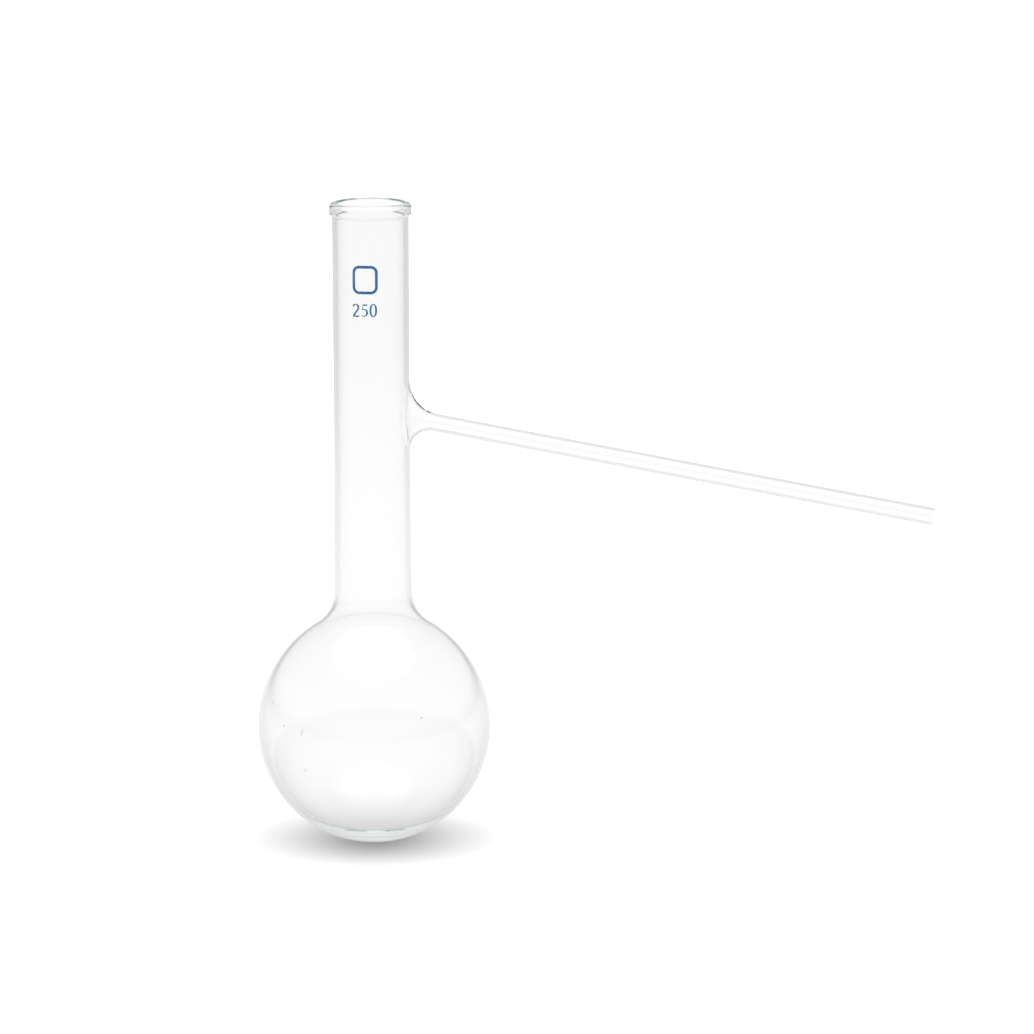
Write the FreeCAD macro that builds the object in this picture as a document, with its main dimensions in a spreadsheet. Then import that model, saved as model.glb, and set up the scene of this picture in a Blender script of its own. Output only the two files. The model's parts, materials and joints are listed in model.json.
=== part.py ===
"""A blown glass distillation flask: a round bulb, a long neck with a beaded mouth, and a thin side arm.

The flask is one piece of glass, so it is one hollow solid. Its outside and its inside are drawn apart,
each as the real surface runs: an outline turned about the neck's centre line, a second outline turned
about the arm's sloping centre line, and a flare that lets the one flow into the other. The flask is the
outside less the inside.

Millimetres. Z runs up the neck's centre line, the arm leans out towards +X and downwards, and the origin
is the lowest point of the bulb.
"""
import FreeCAD, Part

import math
import os

import Sketcher

SIZES = [
    # the bulb: a ball whose upper half is a little fuller than the lower one
    ("bulb_diameter", 85.0),
    ("bulb_upper_offset", 2.1),  # how far past the centre line the upper half's arc has its centre
    ("bulb_wall", 1.2),
    ("floor_thickness", 3.8),  # the glass is thickest at the lowest point
    ("floor_dish_radius", 55.0),
    ("floor_blend_radius", 25.0),
    ("shoulder_radius", 15.5),
    # the neck, from the bulb's lowest point upwards
    ("overall_height", 235.7),
    ("neck_diameter", 27.4),
    ("neck_base_diameter", 28.3),
    ("neck_taper_top", 136.0),  # the neck widens slightly below this height
    ("neck_wall", 1.4),
    ("bead_reach", 1.0),  # how far the bead stands out of the neck, and the radius of its heel
    ("bead_height", 4.8),
    ("bead_crown_radius", 1.8),
    ("mouth_edge_radius", 0.5),
    # the side arm
    ("arm_diameter", 6.5),
    ("arm_wall", 1.0),
    ("arm_height", 160.1),  # where its centre line meets the neck's centre line
    ("arm_slope", 10.9),  # degrees below level
    ("arm_reach", 207.0),  # along its centre line, from the neck's centre line to the tip
    ("arm_tip_radius", 0.45),
    ("flare_radius_above", 12.5),  # the flare is wide above the arm and tight below it
    ("flare_radius_below", 6.6),
]

PAST_THE_END = 2.0  # how far the drawn inside runs out of the mouth and out of the arm's tip
START, END, MIDDLE = range(1, 4)  # the points of a line or an arc, as a sketch counts them
ROOT, UPRIGHT_AXIS = range(-1, -3, -1)  # a sketch's own origin, at START, and its upright axis
QUARTER = math.pi / 2


def vector(x, y):
    return FreeCAD.Vector(x, y, 0)


def make_sheet(doc):
    """The driving sizes, one to a row: a name, and the number that has this name as its alias."""
    sheet = doc.addObject("Spreadsheet::Sheet", "sizes")
    for row, (name, value) in enumerate(SIZES, start=1):
        sheet.set(f"A{row}", name)
        sheet.set(f"B{row}", str(value))
        sheet.setAlias(f"B{row}", name)
    doc.recompute()
    return sheet


class Outline:
    """A sketch on a body's XZ plane: sketch x is the distance from the neck's centre line, sketch y is up."""

    def __init__(self, body, name):
        self.sketch = body.newObject("Sketcher::SketchObject", name)
        planes = [p for p in body.Origin.OriginFeatures if p.Role == "XZ_Plane"]
        self.sketch.AttachmentSupport = [(planes[0], "")]
        self.sketch.MapMode = "FlatFace"

    def line(self, start, end):
        return self.sketch.addGeometry(Part.LineSegment(vector(*start), vector(*end)))

    def arc(self, middle, radius, first, last):
        """An arc from angle first to angle last, anticlockwise, in radians."""
        circle = Part.Circle(vector(*middle), FreeCAD.Vector(0, 0, 1), radius)
        return self.sketch.addGeometry(Part.ArcOfCircle(circle, first, last))

    def rule(self, *terms):
        return self.sketch.addConstraint(Sketcher.Constraint(*terms))

    def size(self, kind, *terms):
        """A driven dimension. The last term is its formula over the sheet's cells."""
        *where, formula = terms
        start = self.measured(kind, where)
        number = self.rule(kind, *where, start)
        self.sketch.setExpression(f"Constraints[{number}]", formula)

    def measured(self, kind, where):
        """The dimension as first drawn, so that it starts with the right sign."""
        if kind == "Radius":
            return self.sketch.Geometry[where[0]].Radius
        points = [self.sketch.getPoint(g, p) for g, p in zip(where[::2], where[1::2])]
        if len(points) == 1:
            points.insert(0, vector(0, 0))
        step = points[1] - points[0]
        return step.x if kind == "DistanceX" else step.y

    def joined(self, *joints):
        """Each joint names two ends that meet: (line or arc, end, line or arc, end)."""
        for joint in joints:
            self.rule("Coincident", *joint)

    def smooth(self, *joints):
        for joint in joints:
            self.rule("Tangent", *joint)

    def turned(self, body, name, axis, backwards):
        """The outline turned once round one of its sketch's axes."""
        solid = body.newObject("PartDesign::Revolution", name)
        solid.Profile = self.sketch
        solid.ReferenceAxis = (self.sketch, [axis])
        solid.Angle = 360
        solid.Reversed = backwards
        return solid


def bulb_and_shoulder(size, half_bulb, half_neck, shoulder):
    """Where the shoulder's arc lies on first drawing: its middle and its angle to the upper bulb arc.

    The arc touches the upright line at half_neck and the bulb's upper arc, so its middle is at
    half_neck + shoulder across, and at the sum of both radii from the upper arc's middle.
    """
    ball = size("bulb_diameter") / 2
    upper = half_bulb + size("bulb_upper_offset")
    across = half_neck + shoulder + size("bulb_upper_offset")
    rise = math.sqrt((upper + shoulder) ** 2 - across**2)
    return (half_neck + shoulder, ball + rise), math.atan2(rise, across), upper


def draw_outside(body, size):
    """The glass's outer surface round the neck's centre line, from the bulb's lowest point to the mouth."""
    ball = size("bulb_diameter") / 2
    offset = size("bulb_upper_offset")
    neck = size("neck_diameter") / 2
    bead = neck + size("bead_reach")
    top = size("overall_height")
    under = top - size("bead_height")
    crown = size("bead_crown_radius")
    heel = size("bead_reach")
    taper = size("neck_taper_top")
    shoulder = size("shoulder_radius")
    middle, lean, upper = bulb_and_shoulder(size, ball, size("neck_base_diameter") / 2, shoulder)

    o = Outline(body, "outside_outline")
    axis = o.line((0, top), (0, 0))
    lower_bulb = o.arc((0, ball), ball, -QUARTER, 0)
    upper_bulb = o.arc((-offset, ball), upper, 0, lean)
    hollow = o.arc(middle, shoulder, math.pi, math.pi + lean)
    flank = o.line((middle[0] - shoulder, middle[1]), (neck, taper))
    neck_side = o.line((neck, taper), (neck, under))
    bead_heel = o.arc((neck, under + heel), heel, -QUARTER, 0)
    bead_side = o.line((bead, under + heel), (bead, top - crown))
    bead_crown = o.arc((bead - crown, top - crown), crown, 0, QUARTER)
    lid = o.line((bead - crown, top), (0, top))

    o.joined(
        (axis, END, ROOT, START),
        (axis, END, lower_bulb, START),
        (flank, END, neck_side, START),
        (neck_side, END, bead_heel, START),
        (lid, END, axis, START),
    )
    o.smooth(
        (lower_bulb, END, upper_bulb, START),
        (upper_bulb, END, hollow, END),
        (hollow, START, flank, START),
        (bead_heel, END, bead_side, START),
        (bead_side, END, bead_crown, START),
        (bead_crown, END, lid, START),
    )
    o.rule("PointOnObject", axis, START, UPRIGHT_AXIS)
    o.rule("PointOnObject", lower_bulb, MIDDLE, UPRIGHT_AXIS)
    o.rule("Horizontal", lower_bulb, MIDDLE, lower_bulb, END)
    o.rule("Vertical", bead_heel, MIDDLE, bead_heel, START)
    for upright in (neck_side, bead_side):
        o.rule("Vertical", upright)
    o.rule("Horizontal", lid)

    o.size("Radius", lower_bulb, "sizes.bulb_diameter / 2")
    o.size("DistanceX", upper_bulb, MIDDLE, lower_bulb, MIDDLE, "sizes.bulb_upper_offset")
    o.size("Radius", hollow, "sizes.shoulder_radius")
    o.size("DistanceX", hollow, MIDDLE, "sizes.neck_base_diameter / 2 + sizes.shoulder_radius")
    o.size("DistanceX", neck_side, START, "sizes.neck_diameter / 2")
    o.size("DistanceY", neck_side, START, "sizes.neck_taper_top")
    o.size("Radius", bead_heel, "sizes.bead_reach")
    o.size("DistanceY", bead_heel, START, lid, END, "sizes.bead_height")
    o.size("DistanceY", lid, END, "sizes.overall_height")
    o.size("Radius", bead_crown, "sizes.bead_crown_radius")
    return o


def draw_inside(body, size):
    """The glass's inner surface round the neck's centre line, from the dished floor out through the mouth."""
    wall = size("bulb_wall")
    ball = size("bulb_diameter") / 2
    cave = ball - wall
    offset = size("bulb_upper_offset")
    bore = size("neck_diameter") / 2 - size("neck_wall")
    base_bore = size("neck_base_diameter") / 2 - size("neck_wall")
    shoulder = size("shoulder_radius") + size("neck_wall")
    floor = size("floor_thickness")
    dish = size("floor_dish_radius")
    blend = size("floor_blend_radius")
    top = size("overall_height")
    edge = size("mouth_edge_radius")
    taper = size("neck_taper_top")
    out = top + PAST_THE_END
    middle, lean, upper = bulb_and_shoulder(size, cave, base_bore, shoulder)

    # the blend touches the dish and the ball from within, so its middle is cave - blend from the ball's
    # middle and dish - blend from the dish's middle; a is its angle below level, seen from the ball's middle
    near, far, apart = cave - blend, dish - blend, floor + dish - ball
    drop = (far**2 - near**2 - apart**2) / (2 * near * apart)
    a = math.asin(drop)
    pocket = (near * math.cos(a), ball - near * math.sin(a))
    b = math.atan2(floor + dish - pocket[1], pocket[0])

    o = Outline(body, "inside_outline")
    axis = o.line((0, out), (0, floor))
    floor_dish = o.arc((0, floor + dish), dish, -QUARTER, -b)
    floor_blend = o.arc(pocket, blend, -b, -a)
    lower_bulb = o.arc((0, ball), cave, -a, 0)
    upper_bulb = o.arc((-offset, ball), upper, 0, lean)
    hollow = o.arc(middle, shoulder, math.pi, math.pi + lean)
    flank = o.line((middle[0] - shoulder, middle[1]), (bore, taper))
    neck_side = o.line((bore, taper), (bore, top - edge))
    mouth_edge = o.arc((bore + edge, top - edge), edge, QUARTER, math.pi)
    past_mouth = o.line((bore + edge, top), (bore + edge, out))
    lid = o.line((bore + edge, out), (0, out))

    o.joined(
        (axis, END, floor_dish, START),
        (flank, END, neck_side, START),
        (mouth_edge, START, past_mouth, START),
        (past_mouth, END, lid, START),
        (lid, END, axis, START),
    )
    o.smooth(
        (floor_dish, END, floor_blend, START),
        (floor_blend, END, lower_bulb, START),
        (lower_bulb, END, upper_bulb, START),
        (upper_bulb, END, hollow, END),
        (hollow, START, flank, START),
        (neck_side, END, mouth_edge, END),
    )
    for on_axis in ((axis, START), (axis, END), (floor_dish, MIDDLE), (lower_bulb, MIDDLE)):
        o.rule("PointOnObject", *on_axis, UPRIGHT_AXIS)
    o.rule("Horizontal", lower_bulb, MIDDLE, lower_bulb, END)
    o.rule("Vertical", mouth_edge, MIDDLE, mouth_edge, START)
    for upright in (neck_side, past_mouth):
        o.rule("Vertical", upright)
    o.rule("Horizontal", lid)

    o.size("DistanceY", floor_dish, START, "sizes.floor_thickness")
    o.size("Radius", floor_dish, "sizes.floor_dish_radius")
    o.size("Radius", floor_blend, "sizes.floor_blend_radius")
    o.size("Radius", lower_bulb, "sizes.bulb_diameter / 2 - sizes.bulb_wall")
    o.size("DistanceY", lower_bulb, MIDDLE, "sizes.bulb_diameter / 2")
    o.size("DistanceX", upper_bulb, MIDDLE, lower_bulb, MIDDLE, "sizes.bulb_upper_offset")
    o.size("Radius", hollow, "sizes.shoulder_radius + sizes.neck_wall")
    o.size("DistanceX", hollow, MIDDLE, "sizes.neck_base_diameter / 2 + sizes.shoulder_radius")
    o.size("DistanceX", neck_side, START, "sizes.neck_diameter / 2 - sizes.neck_wall")
    o.size("DistanceY", neck_side, START, "sizes.neck_taper_top")
    o.size("Radius", mouth_edge, "sizes.mouth_edge_radius")
    o.size("DistanceY", mouth_edge, START, "sizes.overall_height")
    o.size("DistanceY", past_mouth, START, past_mouth, END, str(PAST_THE_END))
    return o


def lean_along_arm(sketch):
    """Turn a sketch within its plane, so that its x axis is the arm's centre line from the neck outwards."""
    sketch.AttachmentOffset = FreeCAD.Placement(vector(0, 0), FreeCAD.Rotation(FreeCAD.Vector(0, 0, 1), -1))
    sketch.setExpression("AttachmentOffset.Base.y", "sizes.arm_height")
    sketch.setExpression("AttachmentOffset.Rotation.Angle", "-sizes.arm_slope")


def draw_arm_outside(body, size):
    """The arm's outer surface round its own centre line, with a fire-rounded tip."""
    half = size("arm_diameter") / 2
    tip = size("arm_reach")
    edge = size("arm_tip_radius")

    o = Outline(body, "arm_outside_outline")
    lean_along_arm(o.sketch)
    axis = o.line((0, 0), (tip, 0))
    tip_face = o.line((tip, 0), (tip, half - edge))
    tip_edge = o.arc((tip - edge, half - edge), edge, 0, QUARTER)
    side = o.line((tip - edge, half), (0, half))
    root = o.line((0, half), (0, 0))

    o.joined(
        (axis, START, ROOT, START),
        (axis, END, tip_face, START),
        (side, END, root, START),
        (root, END, axis, START),
    )
    o.smooth((tip_face, END, tip_edge, START), (tip_edge, END, side, START))
    for level in (axis, side):
        o.rule("Horizontal", level)
    for upright in (tip_face, root):
        o.rule("Vertical", upright)
    o.size("DistanceX", axis, END, "sizes.arm_reach")
    o.size("DistanceY", side, END, "sizes.arm_diameter / 2")
    o.size("Radius", tip_edge, "sizes.arm_tip_radius")
    return o


def draw_arm_inside(body, size):
    """The arm's bore round its own centre line. It opens out round the tip's inner edge."""
    bore = size("arm_diameter") / 2 - size("arm_wall")
    tip = size("arm_reach")
    edge = size("arm_tip_radius")
    out = tip + PAST_THE_END

    o = Outline(body, "arm_inside_outline")
    lean_along_arm(o.sketch)
    axis = o.line((0, 0), (out, 0))
    lid = o.line((out, 0), (out, bore + edge))
    past_tip = o.line((out, bore + edge), (tip, bore + edge))
    tip_edge = o.arc((tip - edge, bore + edge), edge, -QUARTER, 0)
    side = o.line((tip - edge, bore), (0, bore))
    root = o.line((0, bore), (0, 0))

    o.joined(
        (axis, START, ROOT, START),
        (axis, END, lid, START),
        (lid, END, past_tip, START),
        (past_tip, END, tip_edge, END),
        (side, END, root, START),
        (root, END, axis, START),
    )
    o.smooth((tip_edge, START, side, START))
    for level in (axis, past_tip, side):
        o.rule("Horizontal", level)
    for upright in (lid, root):
        o.rule("Vertical", upright)
    o.rule("Horizontal", tip_edge, MIDDLE, tip_edge, END)
    o.size("DistanceX", past_tip, END, "sizes.arm_reach")
    o.size("DistanceX", past_tip, END, past_tip, START, str(PAST_THE_END))
    o.size("DistanceY", side, END, "sizes.arm_diameter / 2 - sizes.arm_wall")
    o.size("Radius", tip_edge, "sizes.arm_tip_radius")
    return o


def turned_form(doc, size, name, draw_upright, draw_arm):
    """A body of two turned outlines: the upright one, and the arm's, which runs into it.

    The two turn opposite ways, so that a wide flare can still be rolled along the line where they meet.
    """
    body = doc.addObject("PartDesign::Body", name)
    upright = draw_upright(body, size).turned(body, f"{name}_upright", "V_Axis", backwards=True)
    doc.recompute()
    arm = draw_arm(body, size).turned(body, f"{name}_arm", "H_Axis", backwards=False)
    doc.recompute()
    if not arm.Shape.Volume > upright.Shape.Volume:
        raise RuntimeError(f"{name}: the arm adds nothing to the upright form")
    return body


def flare_edges(shape, height, half_arm, above, below):
    """The two edges where the arm's side leaves the neck, each with the radius at its two ends.

    They run from the highest point of the meeting line to its lowest, one on each side of the arm, so they
    are the only edges whose middle is beside the arm's centre line, at half the arm's width from it.
    """
    sideways_slack = half_arm / 4
    upright_slack = 3 * half_arm
    found = []
    for number, edge in enumerate(shape.Edges, start=1):
        first, last = edge.ParameterRange
        middle = edge.valueAt((first + last) / 2)
        beside = abs(abs(middle.y) - half_arm) < sideways_slack
        level = abs(middle.z - height) < upright_slack
        if beside and level:
            downwards = edge.valueAt(first).z > edge.valueAt(last).z
            found.append((number, above, below) if downwards else (number, below, above))
    if len(found) != 2:
        raise RuntimeError(f"the arm meets the neck in {len(found)} edges, not 2")
    return found


def flared(doc, form, name, height, half_arm, above, below):
    """The form with its arm flowing into its neck, in a flare whose radius changes from above to below."""
    flare = doc.addObject("Part::Fillet", name)
    flare.Base = form
    flare.Edges = flare_edges(form.Shape, height, half_arm, above, below)
    doc.recompute()
    return flare


def make_flask(doc, size):
    """The outside less the inside. Both flares share a centre, so the glass keeps its wall through them."""
    height = size("arm_height")
    half_arm = size("arm_diameter") / 2
    above = size("flare_radius_above")
    below = size("flare_radius_below")
    wall = size("neck_wall")

    outside = turned_form(doc, size, "outside", draw_outside, draw_arm_outside)
    inside = turned_form(doc, size, "inside", draw_inside, draw_arm_inside)
    outer = flared(doc, outside, "outside_flared", height, half_arm, above, below)
    half_bore = half_arm - size("arm_wall")
    inner = flared(doc, inside, "inside_flared", height, half_bore, above + wall, below + wall)

    flask = doc.addObject("Part::Cut", "flask")
    flask.Base = outer
    flask.Tool = inner
    flask.Label = "flask"
    flask.Placement = FreeCAD.Placement()
    doc.recompute()
    return flask


def check(doc, part):
    """Stop before anything is written if an object failed, or the glass isn't one sound hollow solid."""
    for item in doc.Objects:
        faults = {"Invalid", "Error"} & set(item.State)
        if faults:
            raise RuntimeError(f"{item.Name} is {faults}")
        if item.TypeId == "Sketcher::SketchObject" and not item.FullyConstrained:
            raise RuntimeError(f"{item.Name} is free to move")
    shape = part.Shape
    if shape.isNull() or not shape.isValid() or len(shape.Solids) != 1:
        raise RuntimeError(f"{part.Label} isn't one valid solid")


def main():
    doc = FreeCAD.newDocument("distillation_flask")
    sheet = make_sheet(doc)

    def size(name):
        return float(sheet.get(name))

    flask = make_flask(doc, size)
    check(doc, flask)
    os.makedirs("parts", exist_ok=True)
    flask.Shape.exportStep(f"parts/{flask.Label}.step")
    box = flask.Shape.BoundBox
    print(f"{flask.Label}: {flask.Shape.Volume / 1000:.2f} ml of glass")
    print(f"box {box.XMin:.2f} {box.YMin:.2f} {box.ZMin:.2f} to {box.XMax:.2f} {box.YMax:.2f} {box.ZMax:.2f}")


main()
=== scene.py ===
# %% [markdown]
# A blown glass distillation flask: a round bulb, a long neck with a beaded mouth, and a thin side arm that
# slopes down from the neck. On the real object all of it is one piece of clear glass, so it becomes one
# closed mesh here. The measured model is loaded first, and the main sizes below are taken from it.

# %% Load the measured model
import json

import bpy
import numpy as np
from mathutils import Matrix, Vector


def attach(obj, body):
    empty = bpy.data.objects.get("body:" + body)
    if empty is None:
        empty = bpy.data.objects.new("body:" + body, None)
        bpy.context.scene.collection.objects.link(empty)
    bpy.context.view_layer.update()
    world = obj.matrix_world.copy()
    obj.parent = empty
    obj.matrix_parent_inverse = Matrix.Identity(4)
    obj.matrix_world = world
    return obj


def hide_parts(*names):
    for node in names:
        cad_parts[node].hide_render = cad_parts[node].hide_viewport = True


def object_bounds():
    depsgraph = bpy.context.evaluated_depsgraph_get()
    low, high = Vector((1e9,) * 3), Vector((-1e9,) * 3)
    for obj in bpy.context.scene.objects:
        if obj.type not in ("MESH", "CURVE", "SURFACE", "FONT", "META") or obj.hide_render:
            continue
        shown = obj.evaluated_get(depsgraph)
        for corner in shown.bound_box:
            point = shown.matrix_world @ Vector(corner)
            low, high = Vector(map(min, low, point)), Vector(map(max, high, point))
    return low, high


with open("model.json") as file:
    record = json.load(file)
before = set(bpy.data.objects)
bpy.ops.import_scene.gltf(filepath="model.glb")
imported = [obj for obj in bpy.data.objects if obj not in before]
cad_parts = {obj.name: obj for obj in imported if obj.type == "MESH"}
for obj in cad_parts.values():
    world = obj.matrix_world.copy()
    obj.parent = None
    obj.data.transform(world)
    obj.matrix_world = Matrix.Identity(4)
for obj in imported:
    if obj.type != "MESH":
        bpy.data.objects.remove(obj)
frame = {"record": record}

low_before, high_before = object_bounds()
print("box in metres", [round(v, 4) for v in (*low_before, *high_before)])

# %% [markdown]
# The model's record names the places where other glassware meets the flask: the bore of the mouth, the
# outside and the bore of the arm, and the outside of the neck where a clamp holds it. Their radii, and the
# box, fix the main sizes. What the record leaves open, such as the walls and the roundings, is written out.

# %% Sizes in metres
mounts = {mount["name"]: mount for mount in frame["record"]["mounts"]}


def radius_of(name):
    return mounts[name]["dims"]["r_mm"] / 1000


NECK = radius_of("neck_clamp")  # outside, and so are all radii that aren't called a bore
NECK_BORE = radius_of("neck_mouth")
ARM = radius_of("side_arm")
ARM_BORE = radius_of("side_arm_bore")
ARM_AXIS = np.array(mounts["side_arm"]["axis"])
ON_ARM_AXIS = np.array(mounts["side_arm"]["pos_m"])
HEIGHT = high_before.z

BULB = 0.0425
NECK_BASE = 0.01415  # the neck widens slightly towards the bulb
TAPER_TOP = 0.136  # height where it has its even width
SHOULDER = 0.0155  # radius of the hollow curve from the bulb to the neck
UPPER_BULB_OFFSET = 0.0021  # how far past the centre line the upper half's arc has its centre
BULB_WALL = 0.0012
FLOOR = 0.0038  # the glass is thickest at the lowest point
FLOOR_DISH = 0.055
FLOOR_BLEND = 0.025
BEAD_REACH = 0.001  # how far the bead of the mouth stands out from the neck
BEAD_HEIGHT = 0.0048
BEAD_CROWN = 0.0018  # radius of its upper outer edge
MOUTH_EDGE = 0.0005
ARM_REACH = 0.207  # from the neck's centre line to the tip
TIP_EDGE = 0.00045
FLARE_ABOVE = 0.0125  # rolling radius where the arm flares into the neck
FLARE_BELOW = 0.0066

NECK_WALL = NECK - NECK_BORE
print(f"bulb {2000 * BULB:.1f} mm across, {1000 * HEIGHT:.1f} mm high, neck wall {1000 * NECK_WALL:.2f} mm")

# %% [markdown]
# The camera stands where the photographer stood: level with the top of a table, looking a little down on the
# flask through a long lens, which is why the mouth shows as a very thin ellipse. It is made first, because
# it says how fine the mesh has to be.

# %% Camera
FRAME_PIXELS = 1034
FOCAL_PIXELS = 3938
SENSOR = 36.0  # mm
PITCH = np.radians(12.13)  # down
EYE = (0.05235, -1.39631, 0.42094)

camera_data = bpy.data.cameras.new("photo_camera")
camera_data.sensor_width = SENSOR
camera_data.lens = FOCAL_PIXELS / FRAME_PIXELS * SENSOR
camera_data.clip_start = 0.05
camera_data.clip_end = 60
camera = bpy.data.objects.new("photo_camera", camera_data)
camera.location = EYE
camera.rotation_euler = (np.pi / 2 - PITCH, 0, 0)
bpy.context.scene.collection.objects.link(camera)
bpy.context.scene.camera = camera
print(f"lens {camera_data.lens:.1f} mm, {1000 * abs(EYE[1]) / FOCAL_PIXELS:.3f} mm a pixel at the neck")

# %% [markdown]
# Blown glass that turns in a flame takes the shape of a turned outline, so the body is a surface of
# revolution: a profile in (distance from the centre line, height), carried round the upright axis. The
# profile is a chain of arcs and straight lines that meet without a corner. Glass shows each kink in its
# surface as a bent reflection, so the arcs get many rows.


# %% Lines and arcs of a profile
def line_rows(start, end, rows):
    """Points start + t (end - start), with t even from 0 up to but not including 1."""
    t = np.linspace(0, 1, rows, endpoint=False)[:, None]
    return np.array(start) + t * (np.array(end) - np.array(start))


def eased_rows(start, end, rows):
    """As line_rows, but t = (1 - cos(pi s)) / 2 with s even, so that rows crowd near both ends.

    Smooth shading blends the normals of neighbouring faces, and close rows keep that blend off the straight.
    """
    t = (1 - np.cos(np.linspace(0, np.pi, rows, endpoint=False)[:, None])) / 2
    return np.array(start) + t * (np.array(end) - np.array(start))


def arc_rows(middle, radius, first, last, rows):
    """Points middle + radius (cos a, sin a), with a even from first up to but not including last."""
    a = np.linspace(first, last, rows, endpoint=False)
    return np.array(middle) + radius * np.stack([np.cos(a), np.sin(a)], axis=1)


def on_arc(middle, radius, angle):
    return arc_rows(middle, radius, angle, angle + 1, 1)[0]


print("a quarter circle in 4 rows", arc_rows((0, 0), 1, 0, np.pi / 2, 4).round(2).tolist())

# %% [markdown]
# Where bulb and neck meet, the shoulder is a hollow arc that touches the bulb's upper arc from outside and
# the neck's slightly conical foot. Both middles and both angles follow from the touching circles, and the
# inside follows the outside at the wall's thickness.


# %% Where the shoulder touches bulb and neck
def shoulder_of(upper, base, hollow):
    """Middle of the shoulder's arc, its angle to the bulb, and its angle to the neck's conical foot.

    The middle lies base + hollow from the centre line, and upper + hollow from the upper arc's middle. A line
    from the point (neck, TAPER_TOP) touches a circle where the radius turns by acos(radius / distance).
    """
    across = base + hollow + UPPER_BULB_OFFSET
    rise = np.sqrt((upper + hollow) ** 2 - across**2)
    middle = np.array([base + hollow, BULB + rise])
    neck = NECK - (NECK_BASE - base)
    to_taper = np.array([neck, TAPER_TOP]) - middle
    turn = np.arctan2(to_taper[1], to_taper[0]) + np.arccos(hollow / np.hypot(*to_taper))
    return middle, np.arctan2(rise, across), turn


UPPER_BULB = BULB + UPPER_BULB_OFFSET
outer_shoulder, outer_lean, outer_foot = shoulder_of(UPPER_BULB, NECK_BASE, SHOULDER)
INNER_SHOULDER = SHOULDER + NECK_WALL
inner_shoulder, inner_lean, inner_foot = shoulder_of(
    UPPER_BULB - BULB_WALL, NECK_BASE - NECK_WALL, INNER_SHOULDER
)
print("shoulder arcs' middles in mm", (1000 * outer_shoulder).round(2), (1000 * inner_shoulder).round(2))

# %% [markdown]
# The inside of the bulb is a ball of even wall down to the floor, where the glass sagged together while it
# was soft. A dish of larger radius closes it, and a third arc blends ball and dish: it touches both from
# inside, so its middle lies on two circles round their middles.


# %% Where the floor of the bulb blends into its wall
def blend_in_floor(ball, dish, blend):
    """Middle of the blend and its two angles: distances ball - blend and dish - blend fix the middle."""
    ball_height = BULB
    dish_height = FLOOR + dish
    gap = dish_height - ball_height
    below_dish = ((dish - blend) ** 2 - (ball - blend) ** 2 + gap**2) / (2 * gap)
    across = np.sqrt((dish - blend) ** 2 - below_dish**2)
    middle = np.array([across, dish_height - below_dish])
    return middle, np.arctan2(middle[1] - ball_height, across), np.arctan2(-below_dish, across)


INNER_BALL = BULB - BULB_WALL
blend_middle, blend_start, blend_end = blend_in_floor(INNER_BALL, FLOOR_DISH, FLOOR_BLEND)
print("floor blend from", np.degrees([blend_start, blend_end]).round(1), "degrees")

# %% [markdown]
# The arm joins the neck inside a window of the grid, so both neck walls get evenly spaced rows between the
# same two heights. Everything else on the profile is listed once, from the lowest point outside, over the
# mouth, to the lowest point inside.

# %% The profile
WINDOW_LOW, WINDOW_HIGH = 0.140, 0.178
WINDOW_ROWS = 40
UPPER_ROWS, SHOULDER_ROWS, TAPER_ROWS, BELOW_WINDOW_ROWS, NECK_ROWS = 42, 26, 12, 3, 16  # in both walls
QUARTER = np.pi / 2
crown_middle = (NECK + BEAD_REACH - BEAD_CROWN, HEIGHT - BEAD_CROWN)
heel_middle = (NECK, HEIGHT - BEAD_HEIGHT + BEAD_REACH)
edge_middle = (NECK_BORE + MOUTH_EDGE, HEIGHT - MOUTH_EDGE)

outer_rows = [
    arc_rows((0, BULB), BULB, -QUARTER, 0, 60),
    arc_rows((-UPPER_BULB_OFFSET, BULB), UPPER_BULB, 0, outer_lean, UPPER_ROWS),
    arc_rows(outer_shoulder, SHOULDER, np.pi + outer_lean, outer_foot, SHOULDER_ROWS),
    eased_rows(on_arc(outer_shoulder, SHOULDER, outer_foot), (NECK, TAPER_TOP), TAPER_ROWS),
    line_rows((NECK, TAPER_TOP), (NECK, WINDOW_LOW), BELOW_WINDOW_ROWS),
    line_rows((NECK, WINDOW_LOW), (NECK, WINDOW_HIGH), WINDOW_ROWS),
    eased_rows((NECK, WINDOW_HIGH), heel_middle - np.array([0, BEAD_REACH]), NECK_ROWS),
]
mouth_rows = [
    arc_rows(heel_middle, BEAD_REACH, -QUARTER, 0, 10),
    eased_rows(heel_middle + np.array([BEAD_REACH, 0]), crown_middle + np.array([BEAD_CROWN, 0]), 6),
    arc_rows(crown_middle, BEAD_CROWN, 0, QUARTER, 16),
    line_rows(crown_middle + np.array([0, BEAD_CROWN]), edge_middle + np.array([0, MOUTH_EDGE]), 1),
    arc_rows(edge_middle, MOUTH_EDGE, QUARTER, 2 * QUARTER, 12),
]
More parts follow.
